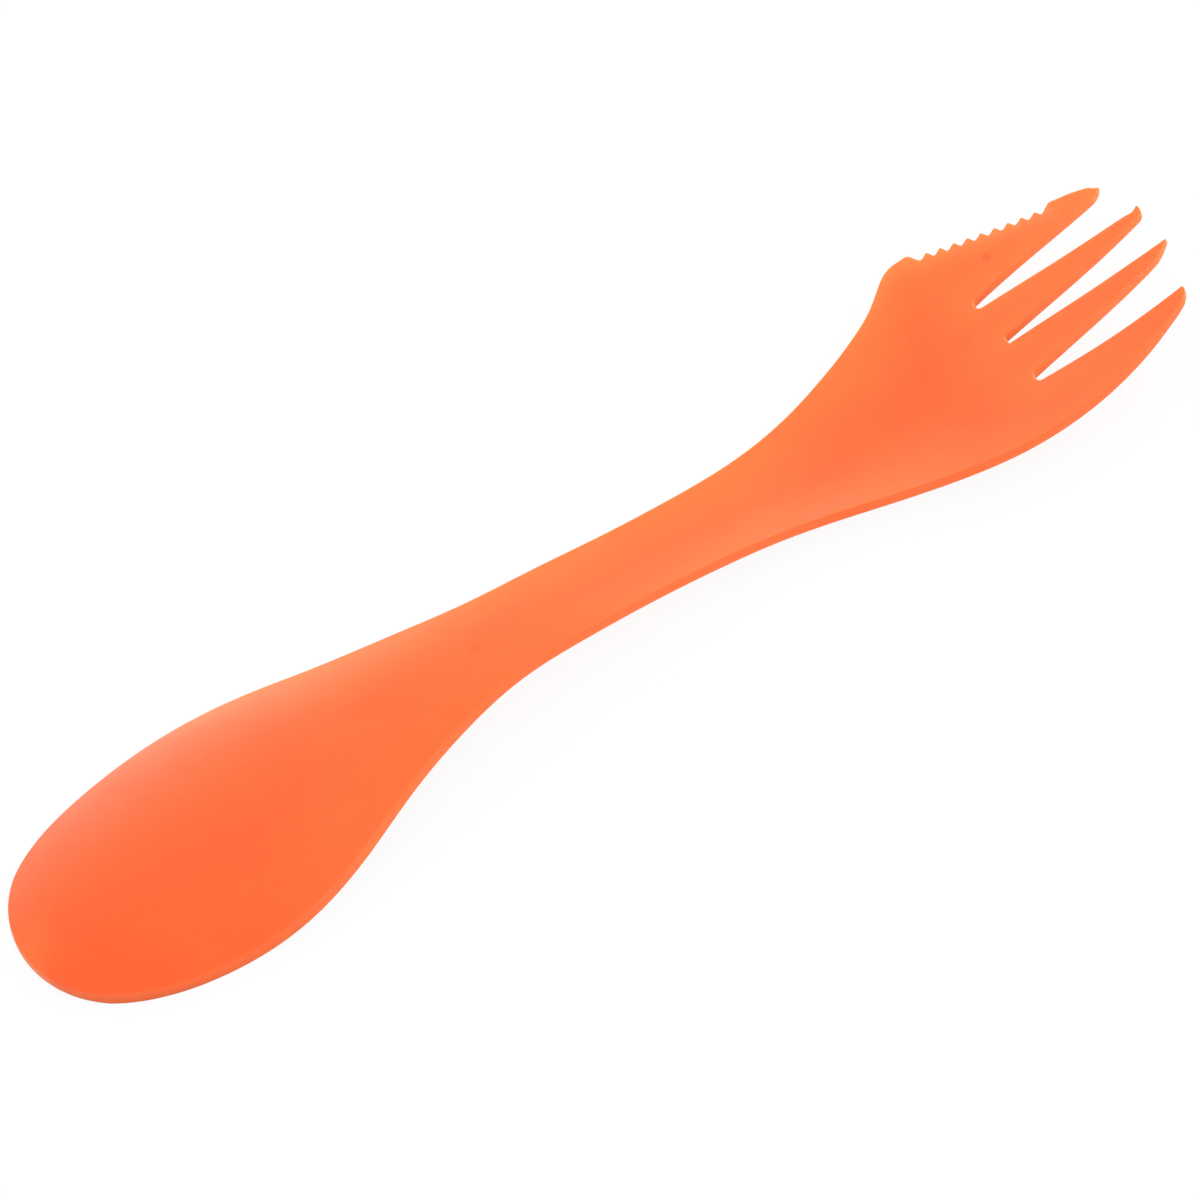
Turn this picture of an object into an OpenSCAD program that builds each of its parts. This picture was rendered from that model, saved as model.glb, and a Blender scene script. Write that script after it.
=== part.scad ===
// Camping spork: a spoon at one end and a four-tined fork with a serrated
// cutting edge at the other. The real thing is one plastic moulding. It is
// held here as nine regions that meet face to face on flat cuts across the
// body, so that the bowl, the handle and each tine can be used by name.
// Lengths are millimetres. The spoon's hollow faces down and the fork's
// hollow faces up, so the side view is a shallow S.

/* [Body] */
// Spoon end, from its tip to the handle
spoon_length = 60; // [50:1:80]
// Handle, from the spoon to the fork
handle_length = 50; // [35:1:80]
// Fork end, from the handle to the tips of the middle tines
fork_length = 60; // [55:1:75]
// Thickness of the moulded wall
wall = 1.6; // [1.2:0.1:2.4]
// Radius along the outer edges of the wall
edge_round = 0.2; // [0.1:0.05:0.4]

/* [Spoon] */
// Greatest width of the bowl
spoon_width = 37.9; // [30:0.1:46]
// Rise of the bowl's back above its rim
bowl_depth = 7.5; // [5:0.5:10]

/* [Handle] */
// Least width of the handle
waist_width = 12.65; // [10:0.05:18]
// Height of the handle's edges above the table
neck_rise = 7; // [5:0.5:10]

/* [Fork] */
// Width of the fork, without the serrated edge's shoulder
fork_width = 34.2; // [30:1:38]
// Depth of the hollow in the fork's palm
palm_depth = 1.9; // [1:0.1:3]
// Height that sets how far the tines climb
tine_rise = 8; // [6:0.5:12]
// Length of the middle tines, from the gap roots to the tips
tine_length = 24; // [20:1:28]
// Distance between the middle lines of neighbouring gaps
gap_pitch = 7.65; // [7:0.05:8]
// Width of the middle gap at the tips
gap_mouth = 6; // [4:0.1:6.5]
// Distance of the middle gap from the body's middle line
gap_offset = 0.2; // [0:0.05:0.5]

/* [Serrated edge] */
// How far the rounded shoulder stands out from the fork's side
shoulder_rise = 3.35; // [2:0.05:4.5]
// Number of teeth
tooth_count = 9; // [5:1:9]
// Distance from tooth to tooth, along the body
tooth_pitch = 1.73; // [1.4:0.01:1.75]
// Height of a tooth
tooth_height = 0.88; // [0.5:0.02:1.2]
// Thickness of the moulding at the teeth
blade_edge = 0.8; // [0.6:0.05:1.1]
// Width of the slope that thins the wall to the teeth
bevel_width = 2.5; // [1.5:0.1:4]

/* [Hidden] */

// Rows of the body, evenly spaced along each end and the handle. A row has the
// half width, the height of the edges and the crown. The shares are of half the
// width, of the rise, and of bowl_depth above 0 or of palm_depth below 0.
spoon_row_shares = [
    [0.39, 0.14, 0.16], [0.85, 0.11, 0.72], [0.99, 0.11, 0.97],
    [1.02, 0.22, 1.03], [0.90, 0.46, 0.82], [0.66, 0.73, 0.47]];
handle_row_shares = [
    [1.50, 0.93, 0.26], [1.10, 1.00, 0.10], [1.07, 0.93, 0.02],
    [0.99, 0.78, -0.20], [1.02, 0.63, -0.43]];
fork_row_shares = [
    [0.41, 0.41, -0.62], [0.55, 0.31, -0.92], [0.78, 0.39, -1.02], [0.99, 0.55, -0.82],
    [1.01, 0.66, -0.44], [0.85, 0.73, -0.11], [0.58, 0.91, 0.05], [0.42, 1.28, 0.05]];

// Cuts between the regions, as shares of the end or handle that they lie in
bowl_end_share = 0.77;
neck_end_share = 0.24;
grip_end_share = 0.90;
palm_start_share = 0.30;

// Places along the fork, as shares of fork_length
shoulder_start_share = 0.34;
shoulder_top_share = 0.51;
first_notch_share = 0.574;
// How late the shoulder swells: a power of the way along it
shoulder_lag_share = 1.3;
// Length of the shoulder's round corner, in teeth, and the share of the
// shoulder's rise at which the first notch lies
corner_share = 0.75;
notch_share = 0.565;
// Slopes of the line of notches and of the tine's back behind it
notch_slope_share = -0.313;
back_slope_share = -0.39;
// Length and height of the step behind the last notch, in teeth
step_length_share = 1.05;
step_height_share = 2.07;
// Outline of a tooth: place along it and height
tooth_shares = [[0, 0], [0.4, 0.52], [0.7, 1], [0.8, 0.9], [1, 0]];

// Half opening of a gap along each edge, as shares of half gap_mouth:
// at the root, at the tips, and the bow between them
mid_far_edge_shares = [0.27, 1.08, 0.05];
mid_near_edge_shares = [0.17, 0.81, 0];
far_middle_edge_shares = [0.26, 1.03, 0];
near_middle_edge_shares = [0.24, 1.30, 0];
serrated_edge_shares = [0.24, 0.93, 0.60];
near_side_edge_shares = [0.34, 0.74, 0.97];
// Round root of a gap: its length along the tine, and its least opening
root_round_share = 0.04;
root_least_share = 0.15;
// Length of the side tines as a share of tine_length
side_tine_share = 0.918;
// Tips of the four tines, from the far side: where the point lies between the
// edges, from the near one at 0. Then for each edge the length that runs in to
// the point, the two powers of its curve, and what is left of it at the end
tip_point_shares = [0.50, 0.60, 0.93, 0.87];
tip_near_shares = [[0.072, 1.6, 0.7, 0.15], [0.046, 2, 0.5, 0.2],
                   [0.120, 1.4, 1, 0.1], [0.077, 1.6, 0.7, 0.1]];
tip_far_shares = [[0.049, 1, 1, 0.26], [0.02, 2, 0.5, 0.2],
                  [0.02, 2, 0.5, 0.3], [0.02, 2, 0.5, 0.3]];
// Thickness at a tip, and the length over which a tine thins
tip_wall_share = 0.68;
tip_thin_share = 0.35;

// Steps of each region along and across the body
bowl_steps = 22;
bowl_across = 16;
strip_steps = 9;
strip_across = 10;
palm_steps = 8;
palm_across = 18;
tine_across = 5;
// Power that crowds the bowl's steps towards its tip
crowd_share = 1.7;
// Blunt end of the bowl, and the least step between rings, in walls
nose_share = 0.08;
least_step_share = 0.06;
// Rings of a tine from its root, and of its tip from the end
tine_ring_shares = [0, 0.006, 0.018, 0.04, 0.12, 0.2, 0.3, 0.4, 0.5, 0.6, 0.7, 0.8];
tip_ring_shares = [0.12, 0.08, 0.05, 0.03, 0.015, 0.006, 0];
// Round edge of the wall: distance in from the side, drop from the face
round_shares = [[0, 1], [0.29, 0.29], [1, 0]];
// Most that the rounding takes of the wall and of a narrow tine
round_wall_share = 0.42;
round_width_share = 0.25;

total_length = spoon_length + handle_length + fork_length;
fork_start = spoon_length + handle_length;
root_x = total_length - tine_length;
nose_x = nose_share * wall;

function mix(a, b, t) = a + (b - a) * t;
function smooth_step(t) = let (c = min(max(t, 0), 1)) c * c * (3 - 2 * c);

// Cubic B-spline through a column of evenly spaced rows
function spline(column, u) =
    let (i = min(max(floor(u), 0), len(column) - 4), f = u - i, g = 1 - f)
    (column[i] * g * g * g
        + column[i + 1] * (3 * f * f * f - 6 * f * f + 4)
        + column[i + 2] * (3 * g * g * g - 6 * g * g + 4)
        + column[i + 3] * f * f * f) / 6;

// Row number, with its fraction, at the distance x from the spoon's tip
function row_at(x) =
    x < spoon_length ? x / spoon_length * len(spoon_row_shares)
    : x < fork_start ? len(spoon_row_shares)
        + (x - spoon_length) / handle_length * len(handle_row_shares)
    : len(spoon_row_shares) + len(handle_row_shares)
        + (x - fork_start) / fork_length * (len(fork_row_shares) - 2);

function sized(row_shares, width, rise) =
    [for (r = row_shares) [r[0] * width / 2, r[1] * rise,
                           r[2] * (r[2] > 0 ? bowl_depth : palm_depth)]];
rows = concat(sized(spoon_row_shares, spoon_width, neck_rise),
              sized(handle_row_shares, waist_width, neck_rise),
              sized(fork_row_shares, fork_width, tine_rise));

// A row before the first one brings the outline and the crown to nil at the tip
function closed(column) = concat([-4 * column[0] - column[1]], column);
half_squares = closed([for (r = rows) r[0] * r[0]]);
crowns = closed([for (r = rows) r[2]]);
edge_heights = concat([2 * rows[0][1] - rows[1][1]], [for (r = rows) r[1]]);

// Half width, and the height and cross slope of the wall's middle surface
function half_at(x) = sqrt(max(0, spline(half_squares, row_at(x))));
function middle_at(x, y) =
    let (e = y / half_at(x))
    spline(edge_heights, row_at(x)) + spline(crowns, row_at(x)) * (1 - e * e);
function slope_at(x, y) =
    2 * spline(crowns, row_at(x)) * y / (half_at(x) * half_at(x));

// Far side of the fork: shoulder, round corner, teeth, step, back of the tine
shoulder_start = fork_start + shoulder_start_share * fork_length;
shoulder_top = fork_start + shoulder_top_share * fork_length;
notch_x = fork_start + first_notch_share * fork_length;
notch_y = half_at(shoulder_top) + notch_share * shoulder_rise;
corner_x = notch_x - corner_share * tooth_pitch;
last_notch_x = notch_x + tooth_count * tooth_pitch;
step_x = last_notch_x + step_length_share * tooth_pitch;
step_height = step_height_share * tooth_height;

function swell(x) = smooth_step(pow(
    max(0, (x - shoulder_start) / (shoulder_top - shoulder_start)), shoulder_lag_share));
function shoulder_at(x) = half_at(x) + shoulder_rise * swell(x);
function notch_line(x) = notch_y + notch_slope_share * (x - notch_x);
function far_at(x) =
    x <= corner_x ? shoulder_at(x)
    : x <= notch_x
        ? mix(shoulder_at(corner_x), notch_y, pow((x - corner_x) / (notch_x - corner_x), 2))
    : x <= last_notch_x
        ? notch_line(x) + tooth_height * lookup((x - notch_x) / tooth_pitch % 1, tooth_shares)
    : x <= step_x
        ? notch_line(x) + step_height * (x - last_notch_x) / (step_x - last_notch_x)
    : notch_line(step_x) + step_height + back_slope_share * (x - step_x);

// Places along the far side where its outline turns
far_turns = concat(
    [for (i = [0 : 3]) mix(corner_x, notch_x, i / 3)],
    [for (i = [0 : tooth_count - 1]) for (t = tooth_shares)
        notch_x + (i + t[0]) * tooth_pitch],
    [step_x]);

// Thickness of the wall, square to its middle surface: thinner at the teeth
function blade_at(x, y) =
    let (along = smooth_step((x - shoulder_start) / (shoulder_top - shoulder_start))
             * smooth_step((step_x + bevel_width - x) / bevel_width),
         edge = x < corner_x || x > step_x ? far_at(x) : notch_line(x) + tooth_height,
         across = min(max(1 - (edge - y) / bevel_width, 0), 1))
    x < shoulder_start ? wall : mix(wall, blade_edge, along * across);

// Upright thickness, thinned over the last stretch before the tip at tip_x
function upright_at(x, y, tip_x) =
    let (thin = tip_thin_share * tine_length,
         t = min(max((x - tip_x + thin) / thin, 0), 1),
         s = slope_at(x, y))
    blade_at(x, y) * sqrt(1 + s * s) * mix(1, tip_wall_share, t * t);

// One ring of a region: [y, top, bottom] from the near side to the far side
function ring(x, near, far, across, tip_x) =
    let (r = min(edge_round, round_width_share * (far - near),
                 round_wall_share * upright_at(x, far, tip_x)),
         low = near + r, high = far - r,
         places = concat(
             [for (s = round_shares) [near + r * s[0], r * s[1]]],
             [for (i = [1 : across - 1]) [mix(low, high, i / across), 0]],
             [for (i = [len(round_shares) - 1 : -1 : 0])
                 [far - r * round_shares[i][0], r * round_shares[i][1]]]))
    [for (p = places)
        let (m = middle_at(x, p[0]), h = upright_at(x, p[0], tip_x) / 2 - p[1])
        [x, p[0], m + h, m - h]];

// Sorted places, without those that lie too close to the one before
function sorted(xs) =
    len(xs) < 2 ? xs
    : let (p = xs[floor(len(xs) / 2)])
      concat(sorted([for (x = xs) if (x < p) x]), [for (x = xs) if (x == p) x],
             sorted([for (x = xs) if (x > p) x]));
function thinned(xs) =
    let (least = least_step_share * wall, last = xs[len(xs) - 1])
    [for (i = [0 : len(xs) - 1])
        if (i == 0 || i == len(xs) - 1 || (xs[i] - xs[i - 1] > least && last - xs[i] > least))
            xs[i]];
function between(xs, a, b) =
    thinned(sorted(concat([a, b], [for (x = xs) if (x > a && x < b) x])));
function even(a, b, steps) = [for (i = [0 : steps]) mix(a, b, i / steps)];

// A strip of the body between two cuts, over its whole width
function strip(a, b) =
    [for (x = even(a, b, strip_steps)) ring(x, -half_at(x), half_at(x), strip_across, root_x * 2)];

bowl_end = bowl_end_share * spoon_length;
neck_end = spoon_length + neck_end_share * handle_length;
grip_end = spoon_length + grip_end_share * handle_length;
palm_start = fork_start + palm_start_share * fork_length;

bowl = [for (i = [0 : bowl_steps])
    let (x = mix(nose_x, bowl_end, pow(i / bowl_steps, crowd_share)))
    ring(x, -half_at(x), half_at(x), bowl_across, root_x * 2)];
neck = strip(bowl_end, neck_end);
grip = strip(neck_end, grip_end);
fork_neck_strip = strip(grip_end, palm_start);
palm = [for (x = between(concat(even(palm_start, root_x, palm_steps), far_turns),
                         palm_start, root_x))
    ring(x, -half_at(x), far_at(x), palm_across, root_x * 2)];

// Edges of the tines: the opening of a gap at x, and a tine's rounded outline
gap_lines = [for (i = [1 : -1 : -1]) gap_offset + i * gap_pitch];
function opening(x, shares) =
    let (u = (x - root_x) / tine_length,
         v = 1 - min(u / root_round_share, 1))
    gap_mouth / 2 * (mix(shares[0], shares[1], u) + shares[2] * u * (1 - u))
        * max(root_least_share, sqrt(1 - v * v));
function tine_near(n, x) =
    n == 0 ? gap_lines[0] + opening(x, serrated_edge_shares)
    : n == 1 ? gap_lines[1] + opening(x, mid_far_edge_shares)
    : n == 2 ? gap_lines[2] + opening(x, near_middle_edge_shares)
    : -half_at(x);
function tine_far(n, x) =
    n == 0 ? far_at(x)
    : n == 1 ? gap_lines[0] - opening(x, far_middle_edge_shares)
    : n == 2 ? gap_lines[1] - opening(x, mid_near_edge_shares)
    : gap_lines[2] - opening(x, near_side_edge_shares);
function run_in(x, tip_x, s) =
    let (t = min(max(1 - (tip_x - x) / (s[0] * tine_length), 0), 1))
    mix(s[3], 1, pow(1 - pow(t, s[1]), s[2]));
function tine(n) =
    let (reach = tine_length * (n == 0 || n == 3 ? side_tine_share : 1),
         tip_x = root_x + reach,
         turns = n == 0 ? far_turns : [],
         places = concat([for (s = tine_ring_shares) root_x + s * reach],
                         [for (s = tip_ring_shares) tip_x - s * tine_length], turns))
    [for (x = between(places, root_x, tip_x))
        let (near = tine_near(n, x), far = tine_far(n, x),
             point = mix(near, far, tip_point_shares[n]))
        ring(x, mix(point, near, run_in(x, tip_x, tip_near_shares[n])),
             mix(point, far, run_in(x, tip_x, tip_far_shares[n])), tine_across, tip_x)];
tines = [for (n = [0 : 3]) tine(n)];

// The origin: on the table, below the middle of the whole spork
all_points = [for (region = concat([bowl, neck, grip, fork_neck_strip, palm], tines))
    for (r = region) for (p = r) p];
function middle_of(k) = (max([for (p = all_points) p[k]]) + min([for (p = all_points) p[k]])) / 2;
origin = [middle_of(0), middle_of(1), min([for (p = all_points) p[3]])];

function two(q) = [[q[0], q[1], q[2]], [q[0], q[2], q[3]]];

// Closed solid of a region: its rings joined face by face, and its two cuts
module solid(region) {
    rings = len(region);
    count = len(region[0]);
    points = [for (r = region) for (p = r) for (k = [2, 3]) [p[0], p[1], p[k]] - origin];
    function at(i, k, side) = (i * count + k) * 2 + side;
    quads = concat(
        [for (i = [0 : rings - 2]) for (k = [0 : count - 2])
            [at(i, k, 0), at(i, k + 1, 0), at(i + 1, k + 1, 0), at(i + 1, k, 0)]],
        [for (i = [0 : rings - 2]) for (k = [0 : count - 2])
            [at(i, k, 1), at(i + 1, k, 1), at(i + 1, k + 1, 1), at(i, k + 1, 1)]],
        [for (i = [0 : rings - 2])
            [at(i, 0, 1), at(i, 0, 0), at(i + 1, 0, 0), at(i + 1, 0, 1)]],
        [for (i = [0 : rings - 2]) let (k = count - 1)
            [at(i, k, 0), at(i, k, 1), at(i + 1, k, 1), at(i + 1, k, 0)]],
        [for (k = [0 : count - 2])
            [at(0, k + 1, 1), at(0, k + 1, 0), at(0, k, 0), at(0, k, 1)]],
        [for (k = [0 : count - 2]) let (i = rings - 1)
            [at(i, k, 1), at(i, k, 0), at(i, k + 1, 0), at(i, k + 1, 1)]]);
    polyhedron(points, [for (q = quads) for (t = two(q)) t]);
}

module spoon_bowl() { color("tomato") solid(bowl); }
module spoon_neck() { color("coral") solid(neck); }
module handle_grip() { color("tomato") solid(grip); }
module fork_neck() { color("coral") solid(fork_neck_strip); }
module fork_palm() { color("tomato") solid(palm); }
module serrated_tine() { color("coral") solid(tines[0]); }
module far_middle_tine() { color("coral") solid(tines[1]); }
module near_middle_tine() { color("coral") solid(tines[2]); }
module near_side_tine() { color("coral") solid(tines[3]); }

spoon_bowl();
spoon_neck();
handle_grip();
fork_neck();
fork_palm();
serrated_tine();
far_middle_tine();
near_middle_tine();
near_side_tine();
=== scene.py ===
# A camping spork in orange plastic: a domed spoon at one end and a fork with a
# serrated edge at the other. The moulding is cut out as a flat blank, given its
# wall, smoothed, and then pressed onto the spork's S-shaped form.
import math

import bmesh
import bpy
from mathutils import Matrix, Vector
from mathutils.kdtree import KDTree


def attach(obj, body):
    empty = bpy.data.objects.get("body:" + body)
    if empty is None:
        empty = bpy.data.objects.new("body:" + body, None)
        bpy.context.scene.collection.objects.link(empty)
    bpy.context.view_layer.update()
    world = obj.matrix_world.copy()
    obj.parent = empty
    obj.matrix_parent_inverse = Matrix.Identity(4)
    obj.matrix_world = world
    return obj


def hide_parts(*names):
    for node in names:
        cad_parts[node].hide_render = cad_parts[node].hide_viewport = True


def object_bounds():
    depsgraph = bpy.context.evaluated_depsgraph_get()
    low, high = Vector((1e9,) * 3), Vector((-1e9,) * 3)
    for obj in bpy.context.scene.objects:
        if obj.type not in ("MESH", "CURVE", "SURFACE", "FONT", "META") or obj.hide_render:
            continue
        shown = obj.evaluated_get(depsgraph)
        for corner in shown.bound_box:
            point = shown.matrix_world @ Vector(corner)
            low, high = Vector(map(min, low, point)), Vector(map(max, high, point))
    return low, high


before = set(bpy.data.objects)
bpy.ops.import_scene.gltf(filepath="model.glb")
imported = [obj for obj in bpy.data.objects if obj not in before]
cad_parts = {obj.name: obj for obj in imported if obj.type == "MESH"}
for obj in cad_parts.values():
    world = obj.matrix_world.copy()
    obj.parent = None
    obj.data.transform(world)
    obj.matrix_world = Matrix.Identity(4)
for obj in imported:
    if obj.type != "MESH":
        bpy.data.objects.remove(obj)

CAD_BOX = [list(corner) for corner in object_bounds()]
MM = 0.001

# Driving sizes of the moulding, in millimetres
SPOON_LENGTH = 60
HANDLE_LENGTH = 50
FORK_LENGTH = 60
TOTAL_LENGTH = SPOON_LENGTH + HANDLE_LENGTH + FORK_LENGTH
FORK_START = SPOON_LENGTH + HANDLE_LENGTH
WALL = 1.6
EDGE_ROUND = 0.2
SPOON_WIDTH = 37.9
BOWL_DEPTH = 7.5
WAIST_WIDTH = 12.65
NECK_RISE = 7
FORK_WIDTH = 34.2
PALM_DEPTH = 1.9
TINE_RISE = 8
TINE_LENGTH = 24
GAP_PITCH = 7.65
GAP_MOUTH = 6
GAP_OFFSET = 0.2
SHOULDER_RISE = 3.4
TOOTH_COUNT = 9
TOOTH_PITCH = 1.73
TOOTH_HEIGHT = 0.94
BLADE_EDGE = 0.8
BEVEL_WIDTH = 2.5

# Rows of the body: half width, height of the edges, crown, as shares
SPOON_ROWS = [(0.39, 0.14, 0.16), (0.85, 0.11, 0.72), (0.99, 0.11, 0.97),
              (1.02, 0.22, 1.03), (0.90, 0.46, 0.82), (0.66, 0.73, 0.47)]
HANDLE_ROWS = [(1.50, 0.93, 0.26), (1.10, 1.00, 0.10), (1.07, 0.93, 0.02),
               (0.99, 0.78, -0.20), (1.02, 0.63, -0.43)]
FORK_ROWS = [(0.41, 0.41, -0.62), (0.55, 0.31, -0.92), (0.78, 0.39, -1.02),
             (0.99, 0.55, -0.82), (1.01, 0.66, -0.44), (0.86, 0.73, -0.11),
             (0.58, 0.91, 0.05), (0.42, 1.28, 0.05)]

# Shoulder: where it starts along the body, where it is highest, and how late it rises
SHOULDER_START = FORK_START + 0.34 * FORK_LENGTH
SHOULDER_TOP = FORK_START + 0.51 * FORK_LENGTH
SHOULDER_LAG = 1.42
# Soft wave on the shoulder, and the furthest that the far side may reach
SHOULDER_SWELL = 0.2
SWELL_START = 129.5
SWELL_LENGTH, SWELL_WAVES = 10, 1.5
FAR_LIMIT = 20.24
# Teeth: first notch, the corner before it, the last notch and the step behind it
NOTCH_X = FORK_START + 0.5785 * FORK_LENGTH
NOTCH_SHARE = 0.57
CORNER_X = NOTCH_X - 0.55 * TOOTH_PITCH
LAST_NOTCH_X = NOTCH_X + TOOTH_COUNT * TOOTH_PITCH
STEP_X = LAST_NOTCH_X + 0.97 * TOOTH_PITCH
STEP_HEIGHT = 1.67
# Slopes of the line of notches and of the tine's back behind the step
NOTCH_SLOPE = -0.313
BACK_SLOPE = -0.45
# One tooth from notch to notch, as shares of the pitch and of the tooth's height
TOOTH = [(0, -0.05), (0.15, 0.1), (0.34, 0.4), (0.52, 0.72), (0.65, 0.96),
         (0.74, 1.03), (0.82, 0.83), (0.91, 0.38), (1, -0.05)]

# Gaps: where they begin along the body, and the half opening of a gap along each edge,
# at the root and at the tips, with its bow, as shares of GAP_MOUTH / 2
ROOT_X = TOTAL_LENGTH - TINE_LENGTH
GAP_EDGES = {"near side": (0.34, 0.74, 0.97), "near middle": (0.24, 1.30, 0),
             "mid near": (0.17, 0.81, 0), "mid far": (0.27, 1.08, 0.05),
             "far middle": (0.26, 1.03, 0), "serrated": (0.24, 0.93, 0.60)}


def mix(a, b, t):
    """Value between a at t = 0 and b at t = 1."""
    return a + (b - a) * t


def smooth_step(t):
    """Soft rise from 0 at t = 0 to 1 at t = 1."""
    c = min(max(t, 0), 1)
    return c * c * (3 - 2 * c)


def lookup(t, points):
    """Height at t of the line through the points."""
    for (a, low), (b, high) in zip(points, points[1:]):
        if t <= b:
            return mix(low, high, (t - a) / (b - a))
    return points[-1][1]


def sized(rows, width, rise):
    """Rows in millimetres. A negative crown is a hollow, as deep as the palm's."""
    return [(w * width / 2, r * rise, c * (BOWL_DEPTH if c > 0 else PALM_DEPTH))
            for w, r, c in rows]


ROWS = (sized(SPOON_ROWS, SPOON_WIDTH, NECK_RISE)
        + sized(HANDLE_ROWS, WAIST_WIDTH, NECK_RISE)
        + sized(FORK_ROWS, FORK_WIDTH, TINE_RISE))


def closed(column):
    """The column with a row in front that brings it to nil at the spoon's tip."""
    return [-4 * column[0] - column[1]] + column


HALF_SQUARES = closed([row[0] ** 2 for row in ROWS])
CROWNS = closed([row[2] for row in ROWS])
EDGE_HEIGHTS = [2 * ROWS[0][1] - ROWS[1][1]] + [row[1] for row in ROWS]


def row_at(s):
    """Row number, with its fraction, at the distance s from the spoon's tip."""
    if s < SPOON_LENGTH:
        return s / SPOON_LENGTH * len(SPOON_ROWS)
    if s < FORK_START:
        return len(SPOON_ROWS) + (s - SPOON_LENGTH) / HANDLE_LENGTH * len(HANDLE_ROWS)
    return (len(SPOON_ROWS) + len(HANDLE_ROWS)
            + (s - FORK_START) / FORK_LENGTH * (len(FORK_ROWS) - 2))


def spline(column, s):
    """Cubic B-spline over a column of evenly spaced rows."""
    u = row_at(s)
    i = min(max(math.floor(u), 0), len(column) - 4)
    f = u - i
    g = 1 - f
    return (column[i] * g ** 3 + column[i + 1] * (3 * f ** 3 - 6 * f ** 2 + 4)
            + column[i + 2] * (3 * g ** 3 - 6 * g ** 2 + 4)
            + column[i + 3] * f ** 3) / 6


def half_at(s):
    """Half width of the body without its shoulder."""
    return math.sqrt(max(0, spline(HALF_SQUARES, s)))


def middle_at(s, y):
    """Height of the wall's middle surface."""
    half = max(half_at(s), EDGE_ROUND)
    return spline(EDGE_HEIGHTS, s) + spline(CROWNS, s) * (1 - (y / half) ** 2)


def slope_at(s, y):
    """Sideways slope of the middle surface."""
    return 2 * spline(CROWNS, s) * y / max(half_at(s), EDGE_ROUND) ** 2


# How far in from the tip a point of the spoon's rim is looked for, and how finely
NOSE_SEARCH = 20
SEARCH_STEPS = 40


def nose_at(y):
    """Distance from the spoon's tip at which the spoon's half width is y."""
    low, high = 0, NOSE_SEARCH
    for _ in range(SEARCH_STEPS):
        middle = (low + high) / 2
        low, high = (middle, high) if half_at(middle) < abs(y) else (low, middle)
    return high


def shoulder_at(s):
    """Far side as far as the teeth: the body's half width with the shoulder on it."""
    t = max(0, (s - SHOULDER_START) / (SHOULDER_TOP - SHOULDER_START))
    rise = SHOULDER_RISE * smooth_step(t ** SHOULDER_LAG)
    waves = min(max((s - SWELL_START) / SWELL_LENGTH, 0), SWELL_WAVES)
    swell = SHOULDER_SWELL * math.sin(2 * math.pi * waves)
    return min(half_at(s) + rise + swell, FAR_LIMIT)


def notch_line(s):
    """Straight line through the bottoms of the notches."""
    notch_y = half_at(SHOULDER_TOP) + NOTCH_SHARE * SHOULDER_RISE
    return notch_y + NOTCH_SLOPE * (s - NOTCH_X)


def far_at(s):
    """Far side: shoulder, round corner, teeth, step and the tine's back."""
    if s <= CORNER_X:
        return shoulder_at(s)
    if s <= NOTCH_X:
        t = (s - CORNER_X) / (NOTCH_X - CORNER_X)
        return mix(shoulder_at(CORNER_X), notch_line(NOTCH_X), smooth_step(t))
    if s <= LAST_NOTCH_X:
        t = (s - NOTCH_X) / TOOTH_PITCH % 1
        return notch_line(s) + TOOTH_HEIGHT * lookup(t, TOOTH)
    if s <= STEP_X:
        return notch_line(s) + STEP_HEIGHT * (s - LAST_NOTCH_X) / (STEP_X - LAST_NOTCH_X)
    return notch_line(STEP_X) + STEP_HEIGHT + BACK_SLOPE * (s - STEP_X)


def opening(s, edge):
    """Distance from a gap's middle to one of its edges."""
    root, tip, bow = GAP_EDGES[edge]
    u = (s - ROOT_X) / TINE_LENGTH
    return GAP_MOUTH / 2 * (mix(root, tip, u) + bow * u * (1 - u))


def tine_sides(tine, s):
    """Near and far edge of a tine. Tines are numbered from the near side."""
    near_gap, middle_gap, far_gap = (GAP_OFFSET + k * GAP_PITCH for k in (-1, 0, 1))
    return ((-half_at(s), near_gap - opening(s, "near side")),
            (near_gap + opening(s, "near middle"), middle_gap - opening(s, "mid near")),
            (middle_gap + opening(s, "mid far"), far_gap - opening(s, "far middle")),
            (far_gap + opening(s, "serrated"), far_at(s)))[tine]


# The blank is a grid. Across it lie four tines with three gaps between them, and
# each tine has columns close to its edges that hold the rounding there.
EDGE_STEPS = (0, 0.08, 0.22)
SERRATED = 3
TINE_COLUMNS = 9
GAP_SHARES = (0.15, 0.5, 0.85)
COLUMNS = []
for tine in range(SERRATED + 1):
    COLUMNS += [("tine", tine, k) for k in range(TINE_COLUMNS)]
    if tine < SERRATED:
        COLUMNS += [("gap", tine, share) for share in GAP_SHARES]

# Rows along the blank: curved ones round the nose, straight ones along the body
NOSE_CORNER = 5
NOSE_END = 16
NOSE_STEPS = [0, 0.0094, 0.028, 0.07, 0.13, 0.2, 0.3, 0.4, 0.5, 0.6, 0.7, 0.8, 0.9, 1]
BODY_STEP = 2
SHOULDER_PLACES = [137.4, 138.6, 139.8, 140.9, 141.8, 142.6, 143.2]
CORNER_SHARES = (0, 1 / 3, 2 / 3)
tooth_places = [NOTCH_X + (tooth + t) * TOOTH_PITCH
                for tooth in range(TOOTH_COUNT) for t, _ in TOOTH[:-1]] + [LAST_NOTCH_X]
body_rows = list(range(NOSE_END + BODY_STEP, int(SHOULDER_PLACES[0]), BODY_STEP))
body_rows += SHOULDER_PLACES + [mix(CORNER_X, NOTCH_X, share) for share in CORNER_SHARES]

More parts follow.
